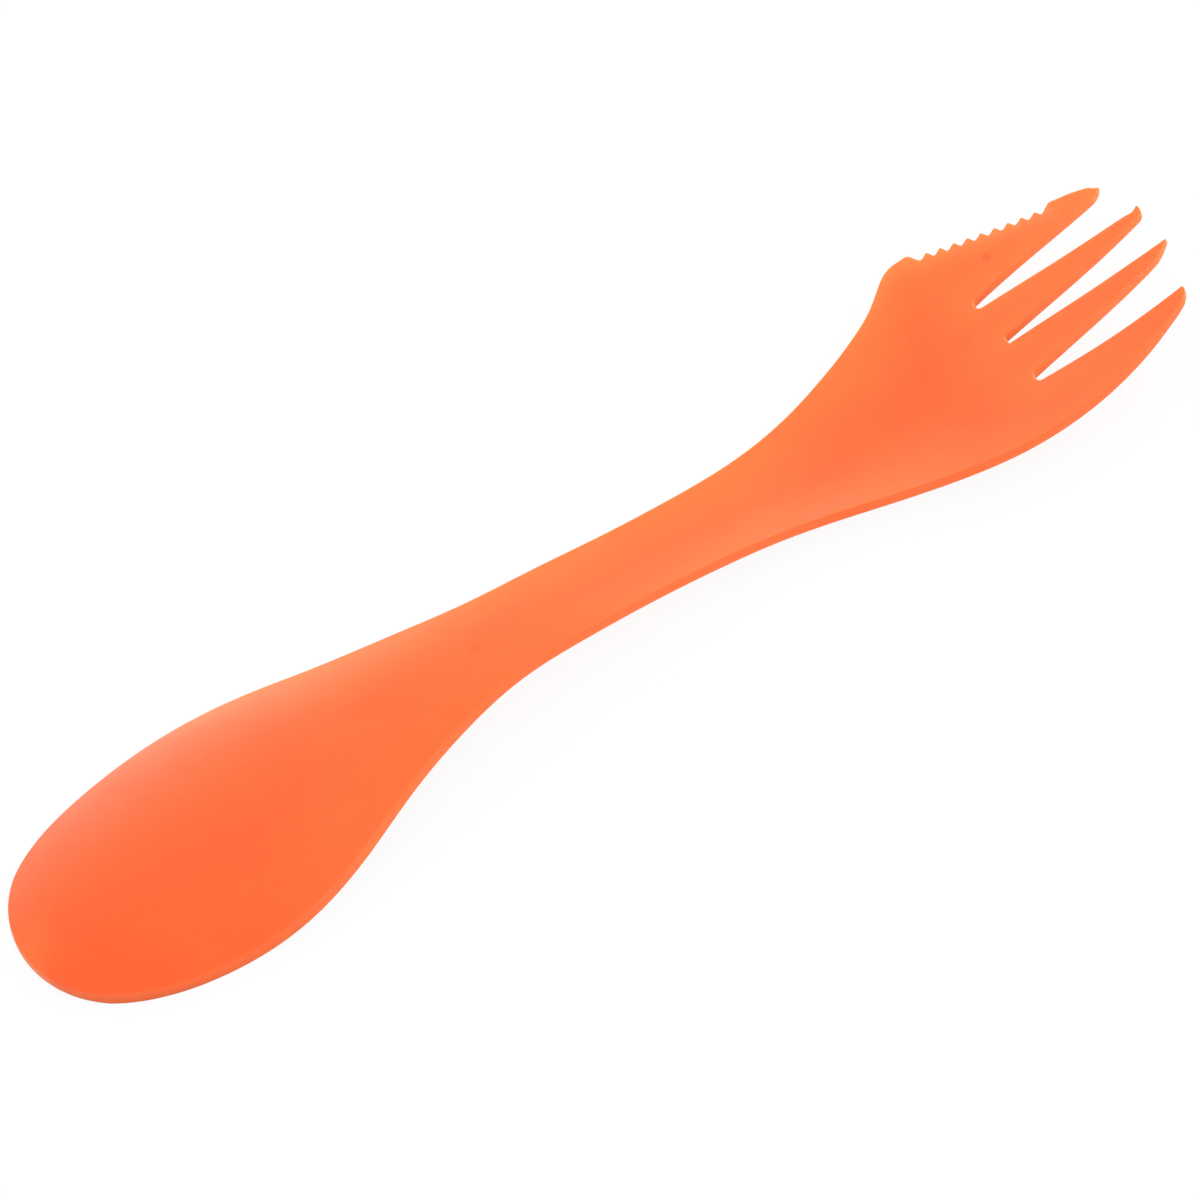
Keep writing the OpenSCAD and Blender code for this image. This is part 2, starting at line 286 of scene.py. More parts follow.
# The gaps' roots share one row. It dips towards the nose at each gap, and the rows
# before it follow less and less; from SPREAD_START on the columns draw to the tines.
ROOT_PLACE = 10
ROOT_ROW = tooth_places[ROOT_PLACE]
ROOT_DEPTHS = (0.5, 0.1, 0.5)
ROOT_FADE = (1, 1, 1, 0.8, 0.55, 0.3, 0.15)
SPREAD_START = 118
body_rows += tooth_places[:ROOT_PLACE + 1]

# Rows of the tines, which go on from the root row, and their curved tip rows
TIP_STEPS = (0.22, 0.42, 0.58, 0.72, 0.82, 0.893, 0.964, 1)
TIP_LENGTH = 4.2
TINE_SHARES = (0.918, 1, 1, 0.918)
TINE_TIPS = [ROOT_X + TINE_LENGTH * share for share in TINE_SHARES]
STEP_SHARES = (0.3, 0.6, 0.85, 1)
BACK_SHARES = (0.3, 0.6, 1)
serrated_rows = tooth_places[ROOT_PLACE + 1:]
serrated_rows += [mix(LAST_NOTCH_X, STEP_X, share) for share in STEP_SHARES]
serrated_rows += [mix(STEP_X, TINE_TIPS[SERRATED] - TIP_LENGTH, share)
                  for share in BACK_SHARES]


def plain_rows(tip):
    """Evenly spaced rows of a plain tine, as many as on the serrated one."""
    count = len(serrated_rows)
    return [mix(ROOT_ROW, tip - TIP_LENGTH, (i + 1) / count) for i in range(count)]


TINE_ROWS = [plain_rows(tip) for tip in TINE_TIPS[:SERRATED]] + [serrated_rows]
ROOT_INDEX = len(NOSE_STEPS) + len(body_rows) - 1
ROW_COUNT = ROOT_INDEX + 1 + len(serrated_rows) + len(TIP_STEPS)

# Tip outlines from the near edge to the far one: distance back from the tip and share
# of the tine's width. TIP_LAG is how late the tip rows of each tine take up the shape.
TIP_SHAPES = [
    [(1.86, 0), (1.14, 0.17), (0.70, 0.33), (0.35, 0.51), (0.13, 0.67), (0.02, 0.81),
     (0, 0.91), (0.06, 0.97), (0.30, 1)],
    [(2.80, 0), (2.15, 0.15), (1.55, 0.30), (1.05, 0.45), (0.65, 0.60), (0.28, 0.75),
     (-0.05, 0.89), (-0.20, 0.96), (0.05, 1)],
    [(1.10, 0), (0.60, 0.06), (0.25, 0.18), (0.05, 0.35), (-0.03, 0.52), (-0.07, 0.72),
     (-0.13, 0.95), (-0.16, 1.18), (0.12, 1.38)],
    [(1.94, 0), (1.30, 0.09), (0.81, 0.185), (0.48, 0.29), (0.20, 0.40), (0.02, 0.52),
     (0.02, 0.65), (0.74, 0.82), (1.50, 1.07)]]
TIP_LAG = (2, 1.6, 9, 2)
# The far middle tine has a nib on its tip, with a dent in the edge before it. The dent
# fades out over the tine's columns.
NIB_TINE = 2
DENT_DEPTH, DENT_PLACE, DENT_RUN = 0.24, 0.72, 0.13
DENT_COLUMN, DENT_COLUMNS = 3, 3


def across(near, far, k, count):
    """Place of column k of count between two edges, with the close edge steps."""
    last = count - 1
    steps = len(EDGE_STEPS) - 1
    tight = min(1, (far - near) / (4 * EDGE_STEPS[-1]))
    if k <= steps:
        return near + EDGE_STEPS[k] * tight
    if k >= last - steps:
        return far - EDGE_STEPS[last - k] * tight
    inset = EDGE_STEPS[-1] * tight
    return mix(near + inset, far - inset, (k - steps) / (last - 2 * steps))


def tine_place(tine, k, s):
    """Sideways place of a tine's column. Before the roots its gap edges run straight."""
    near, far = tine_sides(tine, max(s, ROOT_ROW))
    if tine == 0:
        near = -half_at(s)
    if tine == SERRATED:
        far = far_at(s)
    return across(near, far, k, TINE_COLUMNS)


def nose_place(j, t):
    """Place in a row of the nose: along the rim at t = 0, straight across at t = 1."""
    edge = mix(NOSE_CORNER, NOSE_END, t)
    y = across(-half_at(edge), half_at(edge), j, len(COLUMNS))
    start = nose_at(y / half_at(edge) * half_at(NOSE_CORNER))
    return mix(start, NOSE_END, t), y


def body_place(i, j, s):
    """Place in a row before the tines: it dips towards the nose at the gaps' roots."""
    form, tine, k = COLUMNS[j]
    plain = across(-half_at(s), far_at(s), j, len(COLUMNS))
    if form == "tine":
        spread, dip = tine_place(tine, k, s), 0
    else:
        near = tine_place(tine, TINE_COLUMNS - 1, s)
        far = tine_place(tine + 1, 0, s)
        spread = mix(near, far, k)
        back = ROOT_INDEX - i
        fade = ROOT_FADE[back] if back < len(ROOT_FADE) else 0
        dip = ROOT_DEPTHS[tine] * fade * math.sqrt(1 - (2 * k - 1) ** 2)
    t = smooth_step((s - SPREAD_START) / (ROOT_ROW - SPREAD_START))
    return s - dip, mix(plain, spread, t)


def tip_place(tine, k, t):
    """Place in a tip row: straight at t = 0, the tip's outline at t = 1."""
    shape, tip = TIP_SHAPES[tine], TINE_TIPS[tine]
    start = tip - TIP_LENGTH

    def sides(u):
        near = tine_sides(tine, mix(start, tip - shape[0][0], u))[0]
        far = tine_sides(tine, mix(start, tip - shape[-1][0], u))[1]
        return near, far

    near, far = sides(1)
    bend = mix(near, far, shape[k][1]) - across(near, far, k, TINE_COLUMNS)
    dent = 0
    if tine == NIB_TINE:
        across_share = smooth_step((k - DENT_COLUMN) / DENT_COLUMNS)
        dent = DENT_DEPTH * across_share * math.exp(-((t - DENT_PLACE) / DENT_RUN) ** 2)
    return (mix(start, tip - shape[k][0], t),
            across(*sides(t), k, TINE_COLUMNS) + bend * t ** TIP_LAG[tine] - dent)


def blank_place(i, j):
    """Distance from the spoon's tip and sideways place of a point of the blank."""
    if i < len(NOSE_STEPS):
        return nose_place(j, NOSE_STEPS[i])
    if i <= ROOT_INDEX:
        return body_place(i, j, body_rows[i - len(NOSE_STEPS)])
    form, tine, k = COLUMNS[j]
    if form == "gap":
        return ROOT_ROW, GAP_OFFSET + (tine - 1) * GAP_PITCH
    row = i - ROOT_INDEX - 1
    if row < len(serrated_rows):
        s = TINE_ROWS[tine][row]
        return s, tine_place(tine, k, s)
    return tip_place(tine, k, TIP_STEPS[row - len(serrated_rows)])


# Wall of the moulding: how it thins at the teeth and the tips, and how much each face
# draws in on the outline and beside it
BLADE_RUN = SHOULDER_TOP - SHOULDER_START
TIP_WALL_SHARE = 0.68
TIP_THIN = 0.35 * TINE_LENGTH
ROUND_DROPS = (EDGE_ROUND / 2, EDGE_ROUND / 10)
ROUND_WALL_SHARE = 0.42
MOST_WALL = 2.6

# Painted glow of the plastic near its outline, standing in for light from the table below
# and from behind that shines through raised edges: how far in it reaches, the heights of
# the edges between which it grows, its share on edges that lie low, its lean to the far
# side, the value that becomes a weight of 1, and the round painted light spot on the
# spoon's nose
PAINTED_GLOW_REACH = 12
GLOW_LOW, GLOW_HIGH = 0.7, 3.2
LOW_GLOW = 0.15
GLOW_LEAN = 0.35
MOST_GLOW = 1.45
NOSE_GLOW = 5
OUTLINE_STEPS = 8
# Painted light on the side walls, which would lie in shade: full at the gaps' roots, less
# at the tips, least on the outer edges, to which a point belongs that lies within
# OUTER_EDGE of them
GAP_REACH = 3
OUTER_EDGE = 0.5
TIP_SIDE_SHARE = 0.4
OUTER_SIDE_SHARE = 0.2


def wall_at(s, y, tine):
    """Upright thickness: thinner at the teeth and towards a tine's tip."""
    along = (smooth_step((s - SHOULDER_START) / BLADE_RUN)
             * smooth_step((STEP_X + BEVEL_WIDTH - s) / BEVEL_WIDTH))
    edge = far_at(s) if s < CORNER_X or s > STEP_X else notch_line(s) + TOOTH_HEIGHT
    near_edge = min(max(1 - (edge - y) / BEVEL_WIDTH, 0), 1)
    wall = mix(WALL, BLADE_EDGE, along * near_edge)
    tip = TINE_TIPS[tine] if s > ROOT_X else math.inf
    t = min(max((s - tip + TIP_THIN) / TIP_THIN, 0), 1)
    return wall * math.sqrt(1 + slope_at(s, y) ** 2) * mix(1, TIP_WALL_SHARE, t * t)


def deselect():
    """Leaves edit mode and selects nothing, so that the next operator acts alone."""
    if bpy.context.object and bpy.context.object.mode != "OBJECT":
        bpy.ops.object.mode_set(mode="OBJECT")
    bpy.ops.object.select_all(action="DESELECT")


def named(name):
    """Gives its name to the object that was just added."""
    piece = bpy.context.object
    piece.name = name
    piece.data.name = name
    return piece


def apply_modifier(piece, kind, **values):
    """Adds a modifier with the values and applies it to the mesh."""
    modifier = piece.modifiers.new(kind, kind)
    for key, value in values.items():
        setattr(modifier, key, value)
    bpy.ops.object.modifier_apply(modifier=modifier.name)


def border_orders(bm):
    """By vertex index: 0 on the blank's outline and 1 beside it. The rest is left out."""
    orders = {v.index: 0 for v in bm.verts if v.is_boundary}
    for v in bm.verts:
        if v.index not in orders and any(orders.get(e.other_vert(v).index) == 0
                                         for e in v.link_edges):
            orders[v.index] = 1
    return orders


def cut_blank():
    """Flat sheet with the spork's outline; the wall group that weigh_wall gives it later
    holds the thickness.
    """
    deselect()
    rows, columns = ROW_COUNT - 1, len(COLUMNS) - 1
    bpy.ops.mesh.primitive_grid_add(x_subdivisions=rows, y_subdivisions=columns, size=1)
    blank = named("moulding")
    bpy.ops.object.mode_set(mode="EDIT")
    bpy.ops.mesh.select_all(action="DESELECT")
    bm = bmesh.from_edit_mesh(blank.data)
    spots = {v.index: (round((v.co.x + 0.5) * rows), round((v.co.y + 0.5) * columns))
             for v in bm.verts}
    for face in bm.faces:
        cells = [spots[v.index] for v in face.verts]
        in_gap = any(COLUMNS[j][0] == "gap" for _, j in cells)
        if in_gap and max(i for i, _ in cells) > ROOT_INDEX:
            face.select_set(True)
    for v in bm.verts:
        s, y = blank_place(*spots[v.index])
        v.co = Vector((s * MM, y * MM, 0))
    bmesh.update_edit_mesh(blank.data)
    bpy.ops.mesh.delete(type="FACE")
    bpy.ops.object.mode_set(mode="OBJECT")
    return blank


def tine_of(y):
    """Number of the tine that lies nearest to the sideways place y."""
    return min(max(round((y - GAP_OFFSET) / GAP_PITCH + SERRATED / 2), 0), SERRATED)


def weigh_wall(blank):
    """Group with the wall's thickness, less at the edges so that they come out round."""
    bm = bmesh.new()
    bm.from_mesh(blank.data)
    orders = border_orders(bm)
    bm.free()
    group = blank.vertex_groups.new(name="wall")
    for v in blank.data.vertices:
        s, y = v.co.x / MM, v.co.y / MM
        wall = wall_at(s, y, tine_of(y))
        order = orders.get(v.index, 2)
        drop = min(ROUND_DROPS[order], ROUND_WALL_SHARE * wall) if order < 2 else 0
        group.add([v.index], (wall - 2 * drop) / MOST_WALL, "REPLACE")


def painted_wall_light_share_at(s, y):
    """Share of the painted light on the side walls at a point of the outline."""
    in_gap = (s > ROOT_ROW - GAP_REACH
              and -half_at(s) + OUTER_EDGE < y < far_at(s) - OUTER_EDGE)
    if in_gap:
        return min(mix(1, TIP_SIDE_SHARE, (s - ROOT_ROW) / TINE_LENGTH), 1)
    return OUTER_SIDE_SHARE


def painted_glow_share_at(s, y, outline_distance):
    """Share of the painted glow on the edges, light shining through them: stronger on
    raised edges and towards the far side.
    """
    nearness = max(0, 1 - outline_distance / PAINTED_GLOW_REACH)
    clear = smooth_step((spline(EDGE_HEIGHTS, s) - GLOW_LOW) / (GLOW_HIGH - GLOW_LOW))
    nose = math.exp(-(s / NOSE_GLOW) ** 2 - (y / NOSE_GLOW) ** 2)
    lean = 1 + GLOW_LEAN * y / max(half_at(s), EDGE_ROUND)
    return nearness * max(mix(LOW_GLOW, 1, clear) * lean, nose) / MOST_GLOW


def weigh_painted_light(blank):
    """Groups for the material's painted light: nearness to the outline, thinness, and the
    side walls.
    """
    bm = bmesh.new()
    bm.from_mesh(blank.data)
    sides = [[v.co.copy() for v in e.verts] for e in bm.edges if e.is_boundary]
    orders = border_orders(bm)
    bm.free()
    tree = KDTree(len(sides) * OUTLINE_STEPS)
    for i, (a, b) in enumerate(sides):
        for k in range(OUTLINE_STEPS):
            tree.insert(a.lerp(b, k / OUTLINE_STEPS), i * OUTLINE_STEPS + k)
    tree.balance()
    rim = blank.vertex_groups.new(name="rim")
    thin = blank.vertex_groups.new(name="thin")
    side = blank.vertex_groups.new(name="side")
    for v in blank.data.vertices:
        s, y = v.co.x / MM, v.co.y / MM
        rim.add([v.index], painted_glow_share_at(s, y, tree.find(v.co)[2] / MM), "REPLACE")
        on_outline = orders.get(v.index) == 0
        side.add([v.index], painted_wall_light_share_at(s, y) if on_outline else 0, "REPLACE")
        full = WALL * math.sqrt(1 + slope_at(s, y) ** 2)
        thin.add([v.index], 1 - wall_at(s, y, tine_of(y)) / full, "REPLACE")


def keep_shares(piece, *names):
    """Copies vertex groups into attributes that the material reads."""
    for name in names:
        index = piece.vertex_groups[name].index
        shares = [sum(g.weight for g in v.groups if g.group == index)
                  for v in piece.data.vertices]
        layer = piece.data.attributes.new(name + "_share", "FLOAT", "POINT")
        layer.data.foreach_set("value", shares)
    piece.vertex_groups.clear()


def press(piece, lift=0):
    """Raises every point of a flat piece onto the spork's S-shaped form."""
    for v in piece.data.vertices:
        s, y = v.co.x / MM, v.co.y / MM
        top = wall_at(s, y, tine_of(y)) / 2 if lift else 0
        v.co.z += (middle_at(s, y) + lift * top) * MM


def make_moulding():
    """The whole body: blank, wall, smoothing, and the press onto its form."""
    blank = cut_blank()
    weigh_wall(blank)
    weigh_painted_light(blank)
    apply_modifier(blank, "SOLIDIFY", thickness=MOST_WALL * MM, offset=0,
                   vertex_group="wall")
    apply_modifier(blank, "SUBSURF", levels=1, render_levels=1)
    press(blank)
    keep_shares(blank, "rim", "thin", "side")
    return blank


def box_corner(piece, pick):
    """Lowest or highest corner of a piece's box, as pick is min or max."""
    return [pick(v.co[axis] for v in piece.data.vertices) for axis in range(3)]


moulding = make_moulding()
# The moulding fills the frame's box: both ends, its near rim, and its lowest and highest
# points match
low, high = box_corner(moulding, min), box_corner(moulding, max)
FIT = Matrix.Diagonal(((CAD_BOX[1][0] - CAD_BOX[0][0]) / (high[0] - low[0]), 1,
                       (CAD_BOX[1][2] - CAD_BOX[0][2]) / (high[2] - low[2]), 1))
SHIFT = Vector(CAD_BOX[0]) - FIT @ Vector(low)
moulding.data.transform(Matrix.Translation(SHIFT) @ FIT)

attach(moulding, "root")
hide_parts("spoon_bowl", "spoon_neck", "handle_grip", "fork_neck", "fork_palm",
            "serrated_tine", "far_middle_tine", "near_middle_tine", "near_side_tine")


# Marks of the mould on the face that is up: the round gate and two ejector pins
MARK_SIDES = 40
MARK_DEPTH = 0.24
# Widths of the rings that shape the face, as shares of the radius
MARK_RING = 0.16
MARK_LIP = 0.14
MARK_RINGS = 3
# Name, distance from the spoon's tip, sideways place, radius, rise, dish
MARKS = [("gate_mark", 68.1, -0.95, 0.72, 0.034, 0.024),
         ("far_pin_mark", 151.4, 12.9, 0.6, 0.024, 0.012),
         ("near_pin_mark", 151.5, -12.9, 0.6, 0.024, 0.012)]


def round_mark(name, s, y, radius, rise, dish):
    """Low round disc with a rolled rim and a dished face, pressed onto the surface."""
    deselect()
    bpy.ops.mesh.primitive_cylinder_add(vertices=MARK_SIDES, radius=radius * MM,
                                        depth=MARK_DEPTH * MM)
    mark = named(name)
    bpy.ops.object.mode_set(mode="EDIT")
    bpy.ops.mesh.select_all(action="DESELECT")
    bm = bmesh.from_edit_mesh(mark.data)
    for face in bm.faces:
        face.select_set(len(face.verts) > 4 and face.normal.z > 0)
    bpy.ops.mesh.inset(thickness=radius * MARK_RING * MM)
    bpy.ops.mesh.inset(thickness=radius * MARK_LIP * MM)
    bpy.ops.transform.translate(value=(0, 0, -dish * MM))
    for _ in range(MARK_RINGS):
        bpy.ops.mesh.inset(thickness=radius * MARK_RING * MM)
    bpy.ops.object.mode_set(mode="OBJECT")
    apply_modifier(mark, "SUBSURF", levels=2, render_levels=2)
    lift = (rise - MARK_DEPTH / 2) * MM
    mark.data.transform(Matrix.Translation((s * MM, y * MM, lift)))
    press(mark, 1)
    mark.data.transform(Matrix.Translation(SHIFT) @ FIT)
    for face in mark.data.polygons:
        face.use_smooth = True
    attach(mark, "root")
    return mark


marks = [round_mark(*mark) for mark in MARKS]


def srgb(r, g, b):
    """Linear colour of the screen colour r, g, b of 0 to 255."""
    linear = [v / 12.92 if v <= 0.04045 else ((v + 0.055) / 1.055) ** 2.4
              for v in (r / 255, g / 255, b / 255)]
    return (*linear, 1)


# Tone of the plastic: how strongly the painted glow on its edges, the painted light in thin
# places and on side walls, and its own clouds and flow streaks lighten it. Sizes of spots
# are in millimetres, and a stretch below 1 draws them out along the body.
PAINTED_GLOW_POWER, PAINTED_GLOW_LIGHT, PAINTED_THIN_LIGHT, PAINTED_WALL_LIGHT = 1.2, 0.53, 0.45, 0.5
CLOUD_LIGHT, CLOUD_SIZE = 0.25, 14
STREAK_LIGHT, STREAK_SIZE, STREAK_STRETCH = 0.12, 2.2, (0.16, 1, 1)
# Skin: roughness, gloss, and relief of the grain, the waves and the hair scratches
SATIN, GLOSS = 0.42, 0.29
GRAIN_SIZE = 0.35
WAVE_SIZE, WAVE_DULL, WAVE_HEIGHT = 6, 0.12, 1.5
HAIR_SIZE, HAIR_STRETCH = 0.9, (0.05, 1, 1)
HAIR_LEVEL, HAIR_DULL, HAIR_HEIGHT = 0.74, 0.1, 0.4
BUMP_STRENGTH, BUMP_DISTANCE = 0.25, 0.01
# Painted grazing sheen, a paler duller tone where the surface turns away, and how light
# spreads inside the plastic
PAINTED_GRAZING_SHEEN = srgb(196, 134, 96)
SHEEN_START, SHEEN_END, SHEEN_MOST = 0.74, 0.95, 0.6
GLOW_RADIUS, GLOW_DEPTH = (1.0, 0.65, 0.4), 1.4


def add_node(tree, kind, **values):
    """New node of the kind, with its settings."""
    node = tree.nodes.new(kind)
    for key, value in values.items():
        setattr(node, key, value)
    return node


def math_node(tree, operation, first, second=None, third=None):
    """Output of a math node whose inputs are sockets or plain numbers."""
    node = add_node(tree, "ShaderNodeMath", operation=operation)
    for socket, value in zip(node.inputs, (first, second, third)):
        if isinstance(value, (int, float)):
            socket.default_value = value
        elif value is not None:
            tree.links.new(value, socket)
    return node.outputs[0]


def noise(tree, place, size, detail, stretch=(1, 1, 1)):
    """Noise from 0 to 1 with spots of the size in millimetres."""
    mapping = add_node(tree, "ShaderNodeMapping")
    mapping.inputs["Scale"].default_value = stretch
    tree.links.new(place, mapping.inputs["Vector"])
    spots = add_node(tree, "ShaderNodeTexNoise")
    spots.inputs["Scale"].default_value = 1 / (size * MM)
    spots.inputs["Detail"].default_value = detail
    tree.links.new(mapping.outputs[0], spots.inputs["Vector"])
    return spots.outputs["Fac"]


# Sockets of a colour mix: its first and second colour, and its result
MIX_FIRST, MIX_SECOND, MIX_RESULT = 6, 7, 2


def share_of(tree, name):
    """Output that reads one of the moulding's attributes. A mark has none and reads 0."""
    return add_node(tree, "ShaderNodeAttribute", attribute_name=name).outputs["Fac"]


def new_group(name, inputs, outputs):
    """Shader node group with its input and output nodes."""
    tree = bpy.data.node_groups.new(name, "ShaderNodeTree")
    for label, kind in inputs:
        tree.interface.new_socket(label, in_out="INPUT", socket_type=kind)
    for label, kind in outputs:
        tree.interface.new_socket(label, in_out="OUTPUT", socket_type=kind)
    return tree, add_node(tree, "NodeGroupInput"), add_node(tree, "NodeGroupOutput")


def make_tone_and_painted_light():
    """Colour of the moulding: cloudy, with faint flow streaks, and painted light on raised
    edges, thin places and side walls.
    """
    tree, given, result = new_group(
        "plastic_tone_and_painted_light", [("Core", "NodeSocketColor"), ("Cloud_and_glow_tone", "NodeSocketColor"),
                         ("Painted_wall_light", "NodeSocketColor")], [("Color", "NodeSocketColor")])
    place = add_node(tree, "ShaderNodeTexCoord").outputs["Object"]
    clouds = noise(tree, place, CLOUD_SIZE, 3)
    streaks = noise(tree, place, STREAK_SIZE, 2, STREAK_STRETCH)
    # Painted light: glow through raised edges, then painted light in thin places
    rim = math_node(tree, "POWER", share_of(tree, "rim_share"), PAINTED_GLOW_POWER)
    light = math_node(tree, "MULTIPLY", rim, PAINTED_GLOW_LIGHT)
    light = math_node(tree, "MULTIPLY_ADD", share_of(tree, "thin_share"), PAINTED_THIN_LIGHT, light)
    light = math_node(tree, "MULTIPLY_ADD", clouds, CLOUD_LIGHT, light)
    light = math_node(tree, "MULTIPLY_ADD", streaks, STREAK_LIGHT, light)
    light = math_node(tree, "SUBTRACT", light, (CLOUD_LIGHT + STREAK_LIGHT) / 2)
    colour = add_node(tree, "ShaderNodeMix", data_type="RGBA", clamp_factor=True)
    tree.links.new(light, colour.inputs["Factor"])
    tree.links.new(given.outputs["Core"], colour.inputs[MIX_FIRST])
    tree.links.new(given.outputs["Cloud_and_glow_tone"], colour.inputs[MIX_SECOND])
    # Painted light on the side walls, mixed over the tone
    wall = add_node(tree, "ShaderNodeMix", data_type="RGBA", clamp_factor=True)
    side = math_node(tree, "MULTIPLY", share_of(tree, "side_share"), PAINTED_WALL_LIGHT)
    tree.links.new(side, wall.inputs["Factor"])
    tree.links.new(colour.outputs[MIX_RESULT], wall.inputs[MIX_FIRST])
    tree.links.new(given.outputs["Painted_wall_light"], wall.inputs[MIX_SECOND])
    tree.links.new(wall.outputs[MIX_RESULT], result.inputs["Color"])
    return tree


def make_skin():
    """Satin surface: fine grain, soft waves from the mould and hair scratches."""
    tree, _, result = new_group(
        "satin_skin", [], [("Roughness", "NodeSocketFloat"), ("Height", "NodeSocketFloat")])
    place = add_node(tree, "ShaderNodeTexCoord").outputs["Object"]
    grain = noise(tree, place, GRAIN_SIZE, 2)
    waves = noise(tree, place, WAVE_SIZE, 1)
    hairs = noise(tree, place, HAIR_SIZE, 1, HAIR_STRETCH)
    scratch = math_node(tree, "GREATER_THAN", hairs, HAIR_LEVEL)
    dull = math_node(tree, "MULTIPLY_ADD", waves, WAVE_DULL, SATIN - WAVE_DULL / 2)
    dull = math_node(tree, "MULTIPLY_ADD", scratch, HAIR_DULL, dull)
    height = math_node(tree, "MULTIPLY_ADD", waves, WAVE_HEIGHT, grain)
    height = math_node(tree, "MULTIPLY_ADD", scratch, -HAIR_HEIGHT, height)
    tree.links.new(dull, result.inputs["Roughness"])
    tree.links.new(height, result.inputs["Height"])
    return tree


TONE, SKIN = make_tone_and_painted_light(), make_skin()


def orange_plastic(name, core, edge, wall, depth):
    """Satin plastic with its own core colour, an edge colour for clouds and painted glow, a
    painted light side wall colour, a painted grazing sheen and inner glow.
    """
    material = bpy.data.materials.new(name)
    material.use_nodes = True
    tree = material.node_tree
    shader = tree.nodes["Principled BSDF"]
    tone = add_node(tree, "ShaderNodeGroup", node_tree=TONE)
    tone.inputs["Core"].default_value = core
    tone.inputs["Cloud_and_glow_tone"].default_value = edge
    tone.inputs["Painted_wall_light"].default_value = wall
    skin = add_node(tree, "ShaderNodeGroup", node_tree=SKIN)
    bump = add_node(tree, "ShaderNodeBump")
    bump.inputs["Strength"].default_value = BUMP_STRENGTH
    bump.inputs["Distance"].default_value = BUMP_DISTANCE * MM
    # Painted grazing sheen: the base colour turns paler where the surface faces away from
    # the view
    graze = add_node(tree, "ShaderNodeLayerWeight")
    dull = add_node(tree, "ShaderNodeMapRange")
    for label, value in (("From Min", SHEEN_START), ("From Max", SHEEN_END),
                         ("To Max", SHEEN_MOST)):
        dull.inputs[label].default_value = value
    colour = add_node(tree, "ShaderNodeMix", data_type="RGBA")
    colour.inputs[MIX_SECOND].default_value = PAINTED_GRAZING_SHEEN
    tree.links.new(graze.outputs["Facing"], dull.inputs["Value"])
    tree.links.new(dull.outputs["Result"], colour.inputs["Factor"])
    tree.links.new(tone.outputs["Color"], colour.inputs[MIX_FIRST])
    tree.links.new(colour.outputs[MIX_RESULT], shader.inputs["Base Color"])
    tree.links.new(skin.outputs["Roughness"], shader.inputs["Roughness"])
    tree.links.new(skin.outputs["Height"], bump.inputs["Height"])
    tree.links.new(bump.outputs["Normal"], shader.inputs["Normal"])
    shader.inputs["Specular IOR Level"].default_value = GLOSS
    shader.inputs["Subsurface Weight"].default_value = depth
    shader.inputs["Subsurface Radius"].default_value = GLOW_RADIUS
    shader.inputs["Subsurface Scale"].default_value = GLOW_DEPTH * MM
    return material


# The wall colour is painted light on the side walls; the edge colour is the tone of the
# clouds and of the painted glow on raised edges.
body_plastic = orange_plastic("satin_orange_plastic", core=srgb(255, 96, 36),
                              edge=srgb(255, 136, 62), wall=srgb(255, 172, 112), depth=0.7)
mark_plastic = orange_plastic("mark_orange_plastic", core=srgb(250, 96, 34),
                              edge=srgb(255, 110, 46), wall=srgb(255, 110, 46), depth=0.3)
pale_plastic = orange_plastic("pale_mark_orange_plastic", core=srgb(253, 104, 42),
                              edge=srgb(255, 120, 54), wall=srgb(255, 120, 54), depth=0.3)
moulding.data.materials.append(body_plastic)
for mark, plastic in zip(marks, (mark_plastic, mark_plastic, pale_plastic)):
    mark.data.materials.append(plastic)

# Camera, set far off with a long lens, as the photograph has almost no perspective
LENS = 1500
VIEW_AZIMUTH = math.radians(-104.214)
VIEW_HEIGHT = math.radians(47.611)
VIEW_ROLL = math.radians(-20.77)
# Width of the view and its shift to the right and up, in metres, and how far it reaches
VIEW_WIDTH = 0.15013
VIEW_SHIFT = (0.000045, 0.00190)
VIEW_REACH = 50


def make_camera():
    """Camera that looks at the frame's origin, moved by the view's shift."""
    deselect()
    bpy.ops.object.camera_add()
    camera = bpy.context.object
    camera.name = "camera"
    camera.data.lens = LENS
    camera.data.clip_end = VIEW_REACH
    distance = VIEW_WIDTH * LENS / camera.data.sensor_width
    back = Vector((math.cos(VIEW_HEIGHT) * math.cos(VIEW_AZIMUTH),
                   math.cos(VIEW_HEIGHT) * math.sin(VIEW_AZIMUTH), math.sin(VIEW_HEIGHT)))
    turn = back.to_track_quat("Z", "Y").to_matrix() @ Matrix.Rotation(VIEW_ROLL, 3, "Z")
    spot = turn @ Vector((*VIEW_SHIFT, 0)) + back * distance
    camera.matrix_world = Matrix.Translation(spot) @ turn.to_4x4()
    return camera


bpy.context.scene.camera = make_camera()

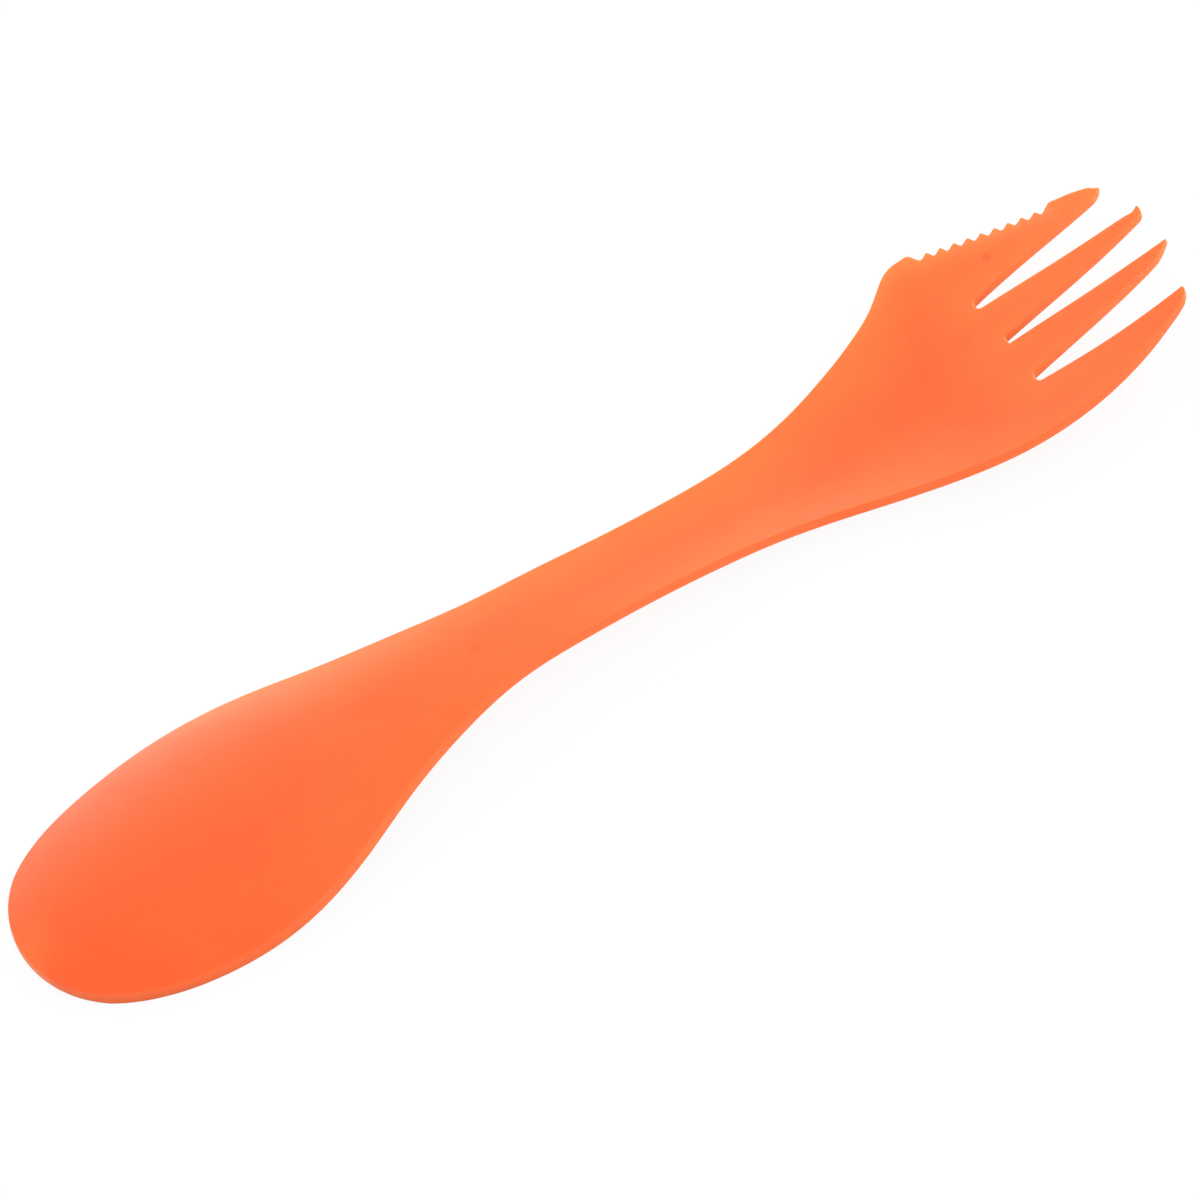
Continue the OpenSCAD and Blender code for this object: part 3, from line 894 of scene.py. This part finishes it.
# Floor: white to the camera, with a little of its own shading for the soft shadow
FLOOR_SIZE = 20
FLOOR_WHITE = 0.88
FLOOR_ROUGHNESS, FLOOR_GLOSS = 0.9, 0.1
FLOOR_GLOW_SHARE = 0.93


def floor_material():
    """Matt white that the camera sees mostly as plain white."""
    material = bpy.data.materials.new("floor_white")
    material.use_nodes = True
    tree = material.node_tree
    matt = tree.nodes["Principled BSDF"]
    matt.inputs["Base Color"].default_value = (FLOOR_WHITE, FLOOR_WHITE, FLOOR_WHITE, 1)
    matt.inputs["Roughness"].default_value = FLOOR_ROUGHNESS
    matt.inputs["Specular IOR Level"].default_value = FLOOR_GLOSS
    glow = add_node(tree, "ShaderNodeEmission")
    glow.inputs["Strength"].default_value = 1
    seen = add_node(tree, "ShaderNodeLightPath").outputs["Is Camera Ray"]
    blend = add_node(tree, "ShaderNodeMixShader")
    tree.links.new(math_node(tree, "MULTIPLY", seen, FLOOR_GLOW_SHARE), blend.inputs[0])
    tree.links.new(matt.outputs[0], blend.inputs[1])
    tree.links.new(glow.outputs[0], blend.inputs[2])
    tree.links.new(blend.outputs[0], tree.nodes["Material Output"].inputs["Surface"])
    return material


deselect()
bpy.ops.mesh.primitive_plane_add(size=FLOOR_SIZE)
floor = named("floor")
floor.data.materials.append(floor_material())

# Light tent: brightest beyond the fork and behind, dimmest in front of the spoon
TENT_LEVEL = 1.24
TENT_LEAN = (0.62, 0.25, 0.12)


def make_tent():
    """World light whose strength grows along TENT_LEAN."""
    world = bpy.data.worlds.new("light_tent")
    world.use_nodes = True
    tree = world.node_tree
    direction = add_node(tree, "ShaderNodeTexCoord").outputs["Generated"]
    facing = add_node(tree, "ShaderNodeVectorMath", operation="DOT_PRODUCT")
    facing.inputs[1].default_value = TENT_LEAN
    tree.links.new(direction, facing.inputs[0])
    level = math_node(tree, "ADD", facing.outputs["Value"], TENT_LEVEL)
    background = tree.nodes["Background"]
    tree.links.new(level, background.inputs["Strength"])
    background.inputs["Color"].default_value = (1, 1, 1, 1)
    return world


bpy.context.scene.world = make_tent()

bpy.context.scene.view_settings.view_transform = "Standard"
